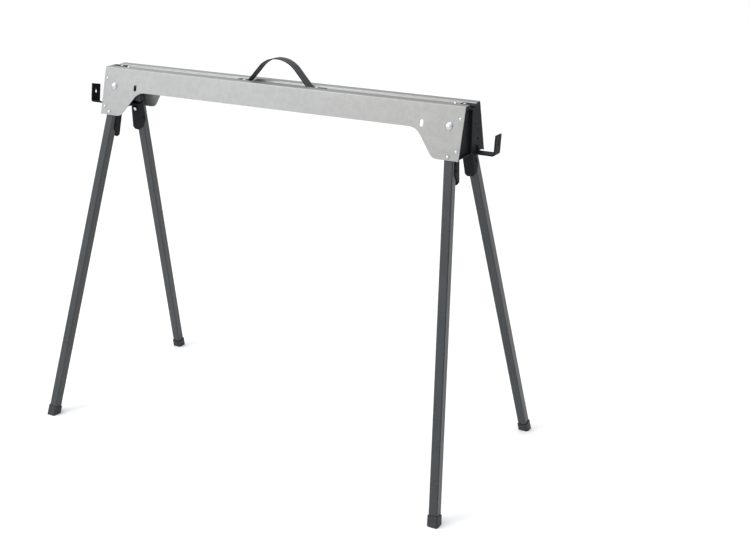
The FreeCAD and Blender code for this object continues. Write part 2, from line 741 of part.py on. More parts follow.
def tongue_rivets():
    """At each end of the groove, a rivet through the tongue and a tall one through the floor."""
    thickness = size("tongue_thickness")
    grip = thickness + size("sheet_gauge")
    shank = size("rivet_diameter")
    head = size("groove_rivet_head")
    rise = size("groove_rivet_rise")
    low_piece = dome_fastener("tongue_rivet_pattern", shank, head, rise, grip)
    tall_piece = dome_fastener("floor_rivet_pattern", shank, head, rise + thickness, grip)
    floor = size("beam_height") - size("valley_depth")
    copies = []
    for end in ENDS.values():
        for piece, inset, height in (
            (low_piece, size("tongue_rivet_near"), floor + thickness),
            (tall_piece, size("tongue_rivet_far"), floor),
        ):
            spot = Vector(end * (size("beam_length") / 2 - inset), 0, height)
            copies.append(placed(piece, Placement(spot, Rotation())))
    return compound("tongue_rivets", copies)


def hook_hardware():
    """Bolt and nut of each hook."""
    bolt = size("hook_bolt_diameter")
    gauge = size("hook_gauge")
    nut = bolt * 0.8
    grip = gauge + size("bracket_gauge") + size("fit_gap")
    bolt_piece = dome_fastener("hook_bolt_pattern", bolt, bolt * 1.8, bolt * 0.5, grip + nut)
    nut_piece = hex_nut("hook_nut_pattern", bolt, bolt * 1.6, nut)
    outward = Rotation(Y_AXIS, 90)
    heads = []
    nuts = []
    for end in ENDS.values():
        depth = tab_depth(end)
        head_face = 0 if depth > 0 else gauge
        nut_face = max(depth, size("bracket_gauge"))
        heads.append(hook_place(end).multiply(Placement(Vector(head_face, 0, 0), outward)))
        nuts.append(hook_place(end).multiply(Placement(Vector(-nut_face, 0, 0), outward)))
    return [group("hook_bolts", bolt_piece, heads), group("hook_nuts", nut_piece, nuts)]


# ---------------------------------------------------------------- handle

def strap_line():
    """Middle line of the webbing: a tail, a straight-sided arch and a tail, as (x, z)."""
    floor = size("beam_height") - size("valley_depth")
    low = floor + size("plate_thickness") + size("strap_thickness") / 2
    top = floor + size("strap_rise")
    slope = math.radians(size("strap_slope"))
    half_span = size("strap_span") / 2
    peak = low + half_span * math.tan(slope)
    crown = (peak - top) / (1 / math.cos(slope) - 1)
    tail = half_span + size("strap_tail")
    bend = size("strap_foot_bend")
    points = [(-tail, low), (-half_span, low), (0, peak), (half_span, low), (tail, low)]
    return points, [0, bend, crown, bend, 0]


def handle_strap():
    body = new_body("handle_strap")
    sketch = new_sketch(body, "XZ_Plane")
    points, radii = strap_line()
    half = size("strap_thickness") / 2
    draw_strip(sketch, points, radii, half, half)
    pad(body, sketch, "Sizes.strap_width", symmetric=True)
    holes = new_sketch(body, "XY_Plane", lifted(points[0][1] + size("strap_thickness")))
    for end in ENDS.values():
        hole = Part.Circle(Vector(end * strap_rivet_x(), 0, 0), Z_AXIS, size("rivet_diameter") / 2)
        holes.addGeometry(hole, False)
    cut(body, holes, "Sizes.strap_thickness * 2")
    return body


def strap_hardware():
    """Plate under each tail of the webbing, and the rivet through it."""
    floor = size("beam_height") - size("valley_depth")
    thickness = size("plate_thickness")
    plate = new_body("strap_plate_pattern")
    sketch = new_sketch(plate, "XY_Plane")
    draw_rectangle(sketch, "-Sizes.strap_tail * 0.36", "-Sizes.plate_width / 2",
                   "Sizes.strap_tail * 0.72", "Sizes.plate_width")
    draw_circle(sketch, "0 mm", "0 mm", "Sizes.rivet_diameter")
    pad(plate, sketch, "Sizes.plate_thickness")
    stack = thickness + size("strap_thickness")
    grip = stack + size("sheet_gauge")
    head = size("groove_rivet_head") * 1.2
    rivet = dome_fastener("strap_rivet_pattern", size("rivet_diameter"), head, 1.7, grip)
    spots = [end * strap_rivet_x() for end in ENDS.values()]
    low = [Placement(Vector(x, 0, floor), Rotation()) for x in spots]
    high = [Placement(Vector(x, 0, floor + stack), Rotation()) for x in spots]
    return [group("strap_plates", plate, low), group("strap_rivets", rivet, high)]


# ---------------------------------------------------------------- legs

def leg_drop():
    """Pivot to the floor along the middle of a leg."""
    middle = size("sheet_gauge") + size("leg_gap") + size("leg_size") / 2
    height = size("beam_height") - size("pivot_drop") * cosine("flare") - middle * sine("flare")
    return height / (cosine("leg_lean") * cosine("flare"))


def square_section(sketch, near, width, corner):
    """Rounded square across the leg, its outer side at depth near behind the panel face."""
    half = width / 2
    points = [(-half, -near), (half, -near), (half, -near - width), (-half, -near - width)]
    draw_outline(sketch, points, [corner] * 4)


def leg_tube(name, place):
    body = new_body(f"leg_tube_{name}")
    near = size("sheet_gauge") + size("leg_gap")
    wall = size("leg_wall")
    section = new_sketch(body, "XZ_Plane", lifted(-size("leg_top")))
    square_section(section, near, size("leg_size"), size("leg_corner"))
    square_section(section, near + wall, size("leg_size") - 2 * wall, size("leg_corner") - wall)
    length = size("leg_top") + leg_drop() - size("leg_end_gap")
    pad(body, section, f"{length} mm")
    outer_holes = new_sketch(body, "XY_Plane", lifted(-near + wall))
    draw_circle(outer_holes, "0 mm", "-Sizes.lock_drop", "Sizes.lock_diameter + 2 * Sizes.lock_gap")
    cut(body, outer_holes, "Sizes.leg_wall * 3")
    through = new_sketch(body, "XY_Plane")
    draw_circle(through, "0 mm", "0 mm", "Sizes.pivot_diameter + 2 * Sizes.running_gap")
    draw_circle(through, "0 mm", "-Sizes.lock_drop", "Sizes.lock_tail + 2 * Sizes.lock_gap")
    cut(body, through, "Sizes.leg_size * 2")
    cross = new_sketch(body, "YZ_Plane")
    lever_hole = "Sizes.lever_pin_diameter + 2 * Sizes.running_gap"
    draw_circle(cross, "-Sizes.lever_pin_drop", lever_pin_z(), lever_hole)
    cut(body, cross, "Sizes.leg_size * 2", symmetric=True)
    body.Placement = place
    return body


def lever_pin_z():
    """Depth of the lever pin behind the panel face, as an expression."""
    return "-(Sizes.sheet_gauge + Sizes.leg_gap + Sizes.leg_size - Sizes.lever_pin_rise)"


def pivot_sleeve(name, place):
    """Sleeve inside the tube that lets the pivot bolt be tightened without crushing it."""
    bore = size("pivot_diameter") + 2 * size("running_gap")
    outside = bore + 2 * size("sleeve_wall")
    length = size("leg_size") - 2 * size("leg_wall")
    piece = ring(f"pivot_sleeve_{name}", bore, outside, length)
    piece.Label = f"pivot_sleeve_{name}"
    start = size("sheet_gauge") + size("leg_gap") + size("leg_wall")
    piece.Placement = sunk(place, start + length)
    return piece


def foot_cap(name, place, floor_block):
    """Moulded cap over the end of the tube, cut level with the floor."""
    body = new_body(f"cap_body_{name}")
    near = size("sheet_gauge") + size("leg_gap")
    wall = size("cap_wall")
    gap = size("fit_gap")
    tube_end = leg_drop() - size("leg_end_gap")
    top = tube_end - size("cap_grip")
    outer = new_sketch(body, "XZ_Plane", lifted(top))
    square_section(outer, near - wall - gap, size("leg_size") + 2 * (wall + gap), size("leg_corner") + wall)
    pad(body, outer, "Sizes.cap_grip + Sizes.leg_end_gap * 3")
    inner = new_sketch(body, "XZ_Plane", lifted(top))
    square_section(inner, near - gap, size("leg_size") + 2 * gap, size("leg_corner") + gap)
    cut(body, inner, "Sizes.cap_grip", reverse=True)
    body.Placement = place
    result = doc.addObject("Part::Cut", f"foot_cap_{name}")
    result.Label = f"foot_cap_{name}"
    result.Base = body
    result.Tool = floor_block
    doc.recompute()
    return result


def below_floor():
    """Block under the floor level that trims the foot caps."""
    block = doc.addObject("Part::Box", "below_floor")
    block.setExpression("Length", "Sizes.beam_length * 2")
    block.setExpression("Width", "Sizes.beam_height * 2")
    block.setExpression("Height", "Sizes.beam_height")
    block.Placement.Base = Vector(-size("beam_length"), -size("beam_height"), -size("beam_height"))
    doc.recompute()
    return block


def lock_pin(name, place):
    """Spring pin with a rounded end, a collar, a thin tail and a head behind the lever."""
    body = new_body(f"lock_pin_{name}")
    sketch = new_sketch(body, "XZ_Plane")
    radius = size("lock_diameter") / 2
    dome = size("lock_dome")
    collar = -size("collar_depth")
    rear = collar - size("collar_length")
    tail = size("lock_tail") / 2
    head = -tail_head_depth()
    sketch.addGeometry(Part.Arc(
        Vector(0, dome, 0), Vector(radius * 0.71, dome * 0.72, 0), Vector(radius, 0, 0)), False)
    corners = [
        (radius, 0), (radius, collar), (size("lock_collar") / 2, collar), (size("lock_collar") / 2, rear),
        (tail, rear), (tail, head), (size("tail_head") / 2, head),
        (size("tail_head") / 2, head - size("collar_length")), (0, head - size("collar_length")), (0, dome),
    ]
    for start, finish in zip(corners, corners[1:]):
        sketch.addGeometry(Part.LineSegment(Vector(*start, 0), Vector(*finish, 0)), False)
    revolve(body, sketch)
    body.Placement = place.multiply(Placement(Vector(0, -size("lock_drop"), 0), Rotation()))
    return body


def lever_web_depth(drop):
    """Depth of the lever's outer face behind the panel face, at a distance down the leg."""
    share = (drop - size("lever_top")) / (size("lever_end") - size("lever_top"))
    inner_face = size("sheet_gauge") + size("leg_gap") + size("leg_size")
    return inner_face + size("lever_top_depth") + share * (size("lever_end_depth") - size("lever_top_depth"))


def tail_head_depth():
    """Depth of the pin's tail head, just clear of the lever web."""
    return lever_web_depth(size("lock_drop") + size("tail_head") / 2) + 2 * size("fit_gap")


def lock_spring(name, place):
    """Closed coil spring inside the tube that pushes the lock pin out, as a ribbed sleeve."""
    body = new_body(f"lock_spring_{name}")
    gap = size("fit_gap")
    wire = size("spring_wire")
    bore = size("lock_tail") / 2 + size("lock_gap")
    inner_wall = size("sheet_gauge") + size("leg_gap") + size("leg_size") - size("leg_wall")
    start = -size("collar_depth") - size("collar_length") - gap
    finish = gap - inner_wall
    coils = round(size("spring_coils"))
    pitch = (finish - start) / coils
    outline = [(bore, finish), (bore, start)]
    for coil in range(coils):
        outline.append((bore + wire, start + pitch * coil))
        outline.append((bore + 2 * wire, start + pitch * (coil + 0.5)))
    outline.append((bore + wire, finish))
    sketch = new_sketch(body, "XZ_Plane")
    draw_outline(sketch, outline, [0] * len(outline))
    revolve(body, sketch)
    body.Placement = place.multiply(Placement(Vector(0, -size("lock_drop"), 0), Rotation()))
    return body


def release_lever(name, place):
    """Folded channel over the inner side of the leg; squeezing its lower end draws the pin."""
    body = new_body(f"release_lever_{name}")
    inner_face = size("sheet_gauge") + size("leg_gap") + size("leg_size")
    edge = -(inner_face - size("lever_overlap"))
    top = -size("lever_top")
    end = -size("lever_end")
    web_top = -lever_web_depth(size("lever_top"))
    web_end = -lever_web_depth(size("lever_end"))
    hold = -size("lever_pin_drop") - size("lever_hold")
    lip = web_end + size("lever_lip")
    side = new_sketch(body, "YZ_Plane")
    outline = [(top, edge), (top, web_top), (end, web_end), (end, lip), (hold, edge)]
    draw_outline(side, outline, [0, 3, 1.2, 1.2, 4])
    width = f"({lever_inner_width()} + 2 * Sizes.lever_gauge)"
    pad(body, side, width, symmetric=True)
    gauge = size("lever_gauge")
    beyond = size("lever_end_depth")
    rise = (web_end - web_top) / (end - top)
    hollow = [
        (top + beyond, edge + beyond),
        (top + beyond, web_top + gauge + rise * beyond),
        (end - beyond, web_end + gauge - rise * beyond),
        (end - beyond, edge + beyond),
    ]
    channel = new_sketch(body, "YZ_Plane")
    draw_outline(channel, hollow, [0] * 4)
    cut(body, channel, lever_inner_width(), symmetric=True)
    trim_lever_corners(body)
    cross = new_sketch(body, "YZ_Plane")
    draw_circle(cross, "-Sizes.lever_pin_drop", lever_pin_z(),
                "Sizes.lever_pin_diameter + 2 * Sizes.running_gap")
    cut(body, cross, "Sizes.leg_size * 2", symmetric=True)
    slot = new_sketch(body, "XY_Plane", lifted(web_top + 2 * gauge))
    half = size("lock_tail") / 2 + 0.5
    low = -size("lock_drop") - size("lock_tail") * 0.6
    high = -size("lock_drop") + size("lock_tail") * 1.3
    draw_outline(slot, [(-half, high), (-half, low), (half, low), (half, high)], [half * 0.9] * 4)
    cut(body, slot, "Sizes.lever_end_depth")
    body.Placement = place
    return body


def trim_lever_corners(body):
    """Cuts both lower corners of the lever at a slant."""
    end = -size("lever_end")
    corner = size("lever_corner")
    half = size("leg_size") / 2 + size("lever_side_gap") + size("lever_gauge")
    trim = new_sketch(body, "XY_Plane")
    for side in (1, -1):
        points = [(side * half, end + corner), (side * (half + 1), end - 1), (side * (half - corner), end)]
        draw_outline(trim, points, [0] * 3)
    cut(body, trim, "Sizes.beam_height")


def lever_inner_width():
    return "(Sizes.leg_size + 2 * Sizes.lever_side_gap)"


def lever_pin(name, place):
    """Headed pin through the lever sides and the leg tube."""
    body = new_body(f"lever_pin_{name}")
    half = size("leg_size") / 2 + size("lever_side_gap") + size("lever_gauge") + 2 * size("fit_gap")
    radius = size("lever_pin_diameter") / 2
    head = radius * 1.5
    rim = half + radius * 0.5
    sketch = new_sketch(body, "XZ_Plane")
    corners = [(0, rim), (head, rim), (head, half), (radius, half)]
    corners += [(x, -z) for x, z in corners[::-1]]
    draw_outline(sketch, corners, [0, 0.5, 0, 0, 0, 0, 0.5, 0])
    revolve(body, sketch)
    depth = size("sheet_gauge") + size("leg_gap") + size("leg_size") - size("lever_pin_rise")
    spot = Vector(0, -size("lever_pin_drop"), -depth)
    body.Placement = place.multiply(Placement(spot, Rotation(Y_AXIS, 90)))
    return body


# ---------------------------------------------------------------- build, check and write

def build_nodes():
    nodes = [beam_shell(), side_rivets(), tongue_rivets(), handle_strap()]
    nodes += pivot_hardware() + hook_hardware() + strap_hardware()
    for end_name, end in ENDS.items():
        nodes.append(end_bracket(end_name, end))
        nodes.append(hook(end_name, end))
    floor_block = below_floor()
    for name, place in leg_places():
        nodes.append(leg_tube(name, place))
        nodes.append(pivot_sleeve(name, place))
        nodes.append(foot_cap(name, place, floor_block))
        nodes.append(lock_pin(name, place))
        nodes.append(lock_spring(name, place))
        nodes.append(release_lever(name, place))
        nodes.append(lever_pin(name, place))
    doc.recompute()
    return nodes


def check(nodes):
    """Stops before anything is written if an object failed or a piece isn't a sound solid."""
    for item in doc.Objects:
        if "Invalid" in item.State or "Error" in item.State:
            raise RuntimeError(f"{item.Label}: {item.State}")
    for node in nodes:
        shape = node.Shape
        if shape.isNull() or not shape.isValid() or not shape.Solids:
            raise RuntimeError(f"{node.Label} isn't a sound solid")


nodes = build_nodes()
check(nodes)
os.makedirs("parts", exist_ok=True)
for node in nodes:
    node.Shape.exportStep(f"parts/{node.Label}.step")
print(len(nodes), "nodes written")
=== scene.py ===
import json
import math

import bpy
from mathutils import Matrix, Vector


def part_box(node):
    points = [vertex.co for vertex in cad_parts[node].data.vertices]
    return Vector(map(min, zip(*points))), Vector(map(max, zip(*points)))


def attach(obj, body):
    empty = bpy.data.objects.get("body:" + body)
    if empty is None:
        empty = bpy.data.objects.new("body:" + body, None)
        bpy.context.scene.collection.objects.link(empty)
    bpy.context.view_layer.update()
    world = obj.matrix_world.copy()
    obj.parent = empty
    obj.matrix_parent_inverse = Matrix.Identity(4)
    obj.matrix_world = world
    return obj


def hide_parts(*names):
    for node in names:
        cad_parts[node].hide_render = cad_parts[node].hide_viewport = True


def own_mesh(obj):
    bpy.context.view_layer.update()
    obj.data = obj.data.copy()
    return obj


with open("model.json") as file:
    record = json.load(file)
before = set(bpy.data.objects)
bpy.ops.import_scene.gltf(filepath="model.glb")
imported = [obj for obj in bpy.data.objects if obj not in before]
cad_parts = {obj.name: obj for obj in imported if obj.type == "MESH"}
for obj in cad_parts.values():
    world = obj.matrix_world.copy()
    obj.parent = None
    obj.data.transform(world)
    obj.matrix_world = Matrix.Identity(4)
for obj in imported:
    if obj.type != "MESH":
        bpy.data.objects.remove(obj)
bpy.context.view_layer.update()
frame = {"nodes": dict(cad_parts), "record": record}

scene = bpy.context.scene
nodes = frame["nodes"]


# ---------------------------------------------------------------- material helpers

NOISE_ROUGHNESS = 0.55


def socket(sockets, identifier):
    return next(item for item in sockets if item.identifier == identifier)


def set_stops(node, stops):
    """Fill a colour ramp from (position, grey value or colour) stops."""
    elements = node.color_ramp.elements
    while len(elements) < len(stops):
        elements.new(0.5)
    for element, (position, colour) in zip(elements, stops):
        element.position = position
        if not isinstance(colour, tuple):
            colour = (colour, colour, colour)
        element.color = (*colour, 1.0)


class Finish:
    """A principled material with helpers for procedural colour, roughness and relief."""

    def __init__(self, name, metallic=0.0, roughness=0.5, **sockets):
        self.material = bpy.data.materials.new(name)
        self.material.use_nodes = True
        self.tree = self.material.node_tree
        self.shader = self.tree.nodes["Principled BSDF"]
        self.shader.inputs["Metallic"].default_value = metallic
        self.shader.inputs["Roughness"].default_value = roughness
        for label, value in sockets.items():
            self.shader.inputs[label.replace("_", " ")].default_value = value
        self.coordinates = self.tree.nodes.new("ShaderNodeTexCoord").outputs["Object"]
        self.relief = None

    def add(self, kind, **settings):
        node = self.tree.nodes.new(kind)
        for key, value in settings.items():
            setattr(node, key, value)
        return node

    def link(self, source, target):
        self.tree.links.new(source, target)

    def mapped(self, scale):
        mapping = self.add("ShaderNodeMapping")
        mapping.inputs["Scale"].default_value = scale
        self.link(self.coordinates, mapping.inputs["Vector"])
        return mapping.outputs["Vector"]

    def noise(self, scale, detail, stretch=(1, 1, 1)):
        texture = self.add("ShaderNodeTexNoise")
        texture.inputs["Scale"].default_value = scale
        texture.inputs["Detail"].default_value = detail
        texture.inputs["Roughness"].default_value = NOISE_ROUGHNESS
        self.link(self.mapped(stretch), texture.inputs["Vector"])
        return texture.outputs["Fac"]

    def ramp(self, source, stops):
        node = self.add("ShaderNodeValToRGB")
        set_stops(node, stops)
        self.link(source, node.inputs["Fac"])
        return node.outputs["Color"]

    def mix(self, factor, first, second, blend="MIX"):
        """Mix two colours; each may be an output or a colour, and factor an output or a number."""
        node = self.add("ShaderNodeMix", data_type="RGBA", blend_type=blend)
        for kind, value in (("Factor_Float", factor), ("A_Color", first), ("B_Color", second)):
            target = socket(node.inputs, kind)
            if isinstance(value, (int, float)):
                target.default_value = value
            elif isinstance(value, tuple):
                target.default_value = (*value, 1.0)
            else:
                self.link(value, target)
        return socket(node.outputs, "Result_Color")

    def math(self, operation, *values):
        node = self.add("ShaderNodeMath", operation=operation)
        for index, value in enumerate(values):
            if isinstance(value, (int, float)):
                node.inputs[index].default_value = value
            else:
                self.link(value, node.inputs[index])
        return node.outputs["Value"]

    def colour(self, source):
        self.link(source, self.shader.inputs["Base Color"])

    def roughness(self, source, low, high):
        self.link(self.ramp(source, [(0.3, low), (0.7, high)]), self.shader.inputs["Roughness"])

    def bump(self, source, depth):
        """Add relief of a depth in metres on top of what is there."""
        node = self.add("ShaderNodeBump")
        node.inputs["Strength"].default_value = 1.0
        node.inputs["Distance"].default_value = depth
        self.link(source, node.inputs["Height"])
        if self.relief:
            self.link(self.relief, node.inputs["Normal"])
        self.relief = node.outputs["Normal"]
        self.link(self.relief, self.shader.inputs["Normal"])


def galvanised():
    """Rolled sheet whose colour carries painted light, cooler and lighter towards its left end."""
    finish = Finish("galvanised", metallic=0.85, roughness=0.45)
    streaks = finish.noise(1.0, 5.0, (2.5, 380, 380))
    clouds = finish.noise(4.0, 3.0, (1, 2, 2))
    crystals = finish.noise(85.0, 2.0)
    along = finish.add("ShaderNodeSeparateXYZ")
    finish.link(finish.coordinates, along.inputs["Vector"])
    # Painted light: the base colour runs lighter and cooler at the beam's left end, darker and
    # warmer at its right end.
    share = finish.math("MULTIPLY_ADD", along.outputs["X"], 1.05, 0.5)
    painted_light_gradient = finish.ramp(share, [(0.0, (0.305, 0.320, 0.325)), (1.0, (0.250, 0.251, 0.238))])
    mottle = finish.ramp(clouds, [(0.3, (0.255, 0.260, 0.260)), (0.7, (0.305, 0.305, 0.298))])
    base = finish.mix(0.5, painted_light_gradient, mottle)
    streaked = finish.mix(0.10, base, finish.ramp(streaks, [(0.35, 0.18), (0.65, 0.42)]))
    finish.colour(finish.mix(0.10, streaked, finish.ramp(crystals, [(0.4, 0.20), (0.6, 0.38)])))
    finish.roughness(streaks, 0.40, 0.54)
    finish.bump(streaks, 0.00003)
    finish.bump(clouds, 0.0003)
    return finish.material


def powder_coat(name, low, high, roughness, specular):
    finish = Finish(name, roughness=roughness)
    finish.shader.inputs["Specular IOR Level"].default_value = specular
    clouds = finish.noise(14.0, 4.0)
    peel = finish.noise(520.0, 3.0)
    cloudy = finish.ramp(clouds, [(0.3, low), (0.7, high)])
    speckled = finish.ramp(peel, [(0.35, low), (0.65, high)])
    finish.colour(finish.mix(0.35, cloudy, speckled))
    finish.roughness(clouds, roughness - 0.05, roughness + 0.09)
    finish.bump(peel, 0.00006)
    return finish.material


def zinc():
    finish = Finish("zinc", metallic=1.0, roughness=0.17)
    clouds = finish.noise(160.0, 3.0)
    lines = finish.noise(900.0, 2.0, (1, 1, 0.3))
    stops = [(0.3, (0.40, 0.45, 0.52)), (0.55, (0.54, 0.57, 0.60)), (0.75, (0.52, 0.51, 0.49))]
    finish.colour(finish.ramp(clouds, stops))
    finish.roughness(lines, 0.12, 0.24)
    finish.bump(lines, 0.00002)
    return finish.material


def spring_steel():
    finish = Finish("spring_steel", metallic=1.0, roughness=0.34)
    grain = finish.noise(600.0, 3.0)
    finish.colour(finish.ramp(grain, [(0.3, (0.30, 0.29, 0.28)), (0.7, (0.46, 0.45, 0.43))]))
    finish.roughness(grain, 0.28, 0.42)
    return finish.material


def cap_plastic():
    finish = Finish("cap_plastic", roughness=0.5)
    finish.shader.inputs["Specular IOR Level"].default_value = 0.4
    grain = finish.noise(1400.0, 2.0)
    scuffs = finish.noise(60.0, 5.0, (1, 1, 3))
    stops = [(0.35, (0.010, 0.011, 0.013)), (0.75, (0.030, 0.032, 0.035))]
    finish.colour(finish.ramp(scuffs, stops))
    finish.roughness(scuffs, 0.42, 0.64)
    finish.bump(grain, 0.00008)
    return finish.material


def webbing():
    """Ribbed black webbing; its UV counts lengths and widths in strap thicknesses."""
    highlight_band_rate = 1.66
    half_width = 5.7
    finish = Finish("webbing", roughness=0.9, Sheen_Weight=0.12, Sheen_Roughness=0.5)
    finish.shader.inputs["Specular IOR Level"].default_value = 0.2
    picks = finish.add("ShaderNodeUVMap", uv_map="strap").outputs["UV"]
    weave = finish.add("ShaderNodeTexWave", wave_type="BANDS", bands_direction="X")
    weave.inputs["Scale"].default_value = 0.5
    weave.inputs["Distortion"].default_value = 0.6
    weave.inputs["Detail Scale"].default_value = 1.0
    finish.link(picks, weave.inputs["Vector"])
    fuzz = finish.noise(1600.0, 3.0)
    ribs = weave.outputs["Fac"]
    woven = finish.ramp(ribs, [(0.2, (0.020, 0.021, 0.024)), (0.8, (0.095, 0.097, 0.102))])
    across = finish.add("ShaderNodeSeparateXYZ")
    finish.link(picks, across.inputs["Vector"])
    # Painted highlight: bands across the width, brightest down the middle of the strap.
    highlight_wave = finish.math("COSINE", finish.math("MULTIPLY", across.outputs["Y"], highlight_band_rate))
    painted_highlight_bands = finish.ramp(finish.math("MULTIPLY_ADD", highlight_wave, 0.5, 0.5), [(0.25, 0.30), (0.75, 1.90)])
    # Painted shade: darkens the strip along each selvedge.
    side = finish.math("ABSOLUTE", across.outputs["Y"])
    outward = finish.math("DIVIDE", side, half_width)
    painted_edge_shade = finish.ramp(outward, [(0.80, 1.0), (0.88, 0.18), (0.97, 0.30)])
    shaded = finish.mix(1.0, finish.mix(1.0, woven, painted_highlight_bands, "MULTIPLY"), painted_edge_shade, "MULTIPLY")
    finish.colour(finish.mix(0.18, shaded, finish.ramp(fuzz, [(0.35, 0.010), (0.7, 0.08)])))
    finish.bump(ribs, 0.0003)
    finish.bump(fuzz, 0.0002)
    return finish.material


finishes = {
    "galvanised": galvanised(),
    "black_steel": powder_coat("black_steel", low=(0.005, 0.006, 0.007), high=(0.010, 0.012, 0.014),
                               roughness=0.55, specular=0.12),
    "charcoal_steel": powder_coat("charcoal_steel", low=(0.013, 0.017, 0.020),
                                  high=(0.025, 0.031, 0.035), roughness=0.28, specular=0.5),
    "zinc": zinc(),
    "spring_steel": spring_steel(),
    "cap_plastic": cap_plastic(),
    "webbing": webbing(),
}

for entry in frame["record"]["subparts"]:
    piece = nodes[entry["node"]]
    if not piece.material_slots:
        piece.data.materials.append(None)
    for slot in piece.material_slots:
        slot.material = finishes[entry["material_slot"]]


# ---------------------------------------------------------------- webbing handle

STRAP_THICKNESS = 0.0022
STRAP_HALF_SPAN = 0.078
STRAP_SLOPE = math.radians(48)
STRAP_FOOT_BEND = 0.008
STRAP_STEPS = 420
STRAP_COLUMNS = 42
STRAP_RIBS = 7
RIB_RELIEF = 0.06
FACE_LEVEL = 0.84
EDGE_LEVEL = 0.08
SELVEDGE_START = 0.86
SELVEDGE_RELIEF = 0.10
PICK_LENGTH = 0.0022
PICK_HEIGHT = 0.000045


def arch_path(low, top, half_span, tail, slope, bend, steps):
    """Evenly spaced points along the middle of the webbing, as (x, z, dx, dz, length so far)."""
    tangent = math.tan(slope)
    peak = low + half_span * tangent
    crown = (peak - top) / (1 / math.cos(slope) - 1)
    foot_cut = bend * math.tan(slope / 2)
    crown_cut = crown * tangent
    flank = half_span / math.cos(slope) - foot_cut - crown_cut
    runs = [
        (tail - foot_cut, 0.0),
        (bend * slope, 1 / bend),
        (flank, 0.0),
        (crown * slope * 2, -1 / crown),
        (flank, 0.0),
        (bend * slope, 1 / bend),
        (tail - foot_cut, 0.0),
    ]
    total = sum(length for length, curve in runs)
    points = []
    x, z, angle, along = -half_span - tail, low, 0.0, 0.0
    fine = 8
    step = total / steps / fine
    limits = []
    reach = 0.0
    for length, curve in runs:
        reach += length
        limits.append((reach, curve))
    for index in range(steps * fine + 1):
        if index % fine == 0:
            points.append((x, z, math.cos(angle), math.sin(angle), along))
        curve = next((c for limit, c in limits if along < limit), 0.0)
        angle += curve * step / 2
        x += math.cos(angle) * step
        z += math.sin(angle) * step
        angle += curve * step / 2
        along += step
    return points


def webbing_section(width, thickness, ribs, columns):
    """Closed outline across the webbing: ribbed faces and rounded selvedges, as (y, n, u)."""
    half = width / 2
    outline = []
    for face in (1, -1):
        for index in range(columns + 1):
            share = -1 + 2 * index / columns
            y = face * share * half
            edge = min(1.0, (1 - abs(share)) * half / (thickness * 0.5))
            round_off = math.sqrt(max(0.0, 1 - (1 - edge) ** 2))
            rib = RIB_RELIEF * math.cos(share * math.pi * ribs)
            selvedge = SELVEDGE_RELIEF if abs(share) > SELVEDGE_START else 0.0
            n = face * thickness / 2 * max(EDGE_LEVEL, round_off) * (FACE_LEVEL + rib + selvedge)
            outline.append((y, n, share * face))
    return outline


def build_strap():
    low_corner, high_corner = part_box("handle_strap")
    path = arch_path(
        low=low_corner.z + STRAP_THICKNESS / 2,
        top=high_corner.z - STRAP_THICKNESS / 2,
        half_span=STRAP_HALF_SPAN,
        tail=high_corner.x - STRAP_HALF_SPAN,
        slope=STRAP_SLOPE,
        bend=STRAP_FOOT_BEND,
        steps=STRAP_STEPS,
    )
    width = high_corner.y - low_corner.y
    outline = webbing_section(width, STRAP_THICKNESS, STRAP_RIBS, STRAP_COLUMNS)
    count = len(outline)
    vertices = []
    for x, z, dx, dz, along in path:
        pick = PICK_HEIGHT * math.cos(along / PICK_LENGTH * math.tau)
        for y, n, share in outline:
            lift = n + math.copysign(pick, n) * (1 if abs(share) < SELVEDGE_START else 0.3)
            vertices.append((x - dz * lift, y, z + dx * lift))
    faces = []
    for row in range(len(path) - 1):
        for column in range(count):
            after = (column + 1) % count
            faces.append((row * count + column, (row + 1) * count + column,
                          (row + 1) * count + after, row * count + after))
    faces.append(tuple(range(count)))
    faces.append(tuple(range((len(path) - 1) * count, len(path) * count))[::-1])
    mesh = bpy.data.meshes.new("strap_webbing")
    mesh.from_pydata(vertices, [], faces)
    layer = mesh.uv_layers.new(name="strap")
    for loop in mesh.loops:
        row, column = divmod(loop.vertex_index, count)
        along, across = path[row][4], outline[column][0]
        layer.data[loop.index].uv = (along / STRAP_THICKNESS, across / STRAP_THICKNESS)
    mesh.polygons.foreach_set("use_smooth", [True] * len(mesh.polygons))
    mesh.update()
    strap = bpy.data.objects.new("strap_webbing", mesh)
    scene.collection.objects.link(strap)
    strap.data.materials.append(finishes["webbing"])
    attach(strap, "beam")
    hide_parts("handle_strap")


build_strap()


# ---------------------------------------------------------------- lock springs

SPRING_LENGTH = 0.0118
SPRING_RADIUS = 0.0042
WIRE_RADIUS = 0.00055
SPRING_COILS = 6
COIL_STEPS = 32
WIRE_CORNERS = 10


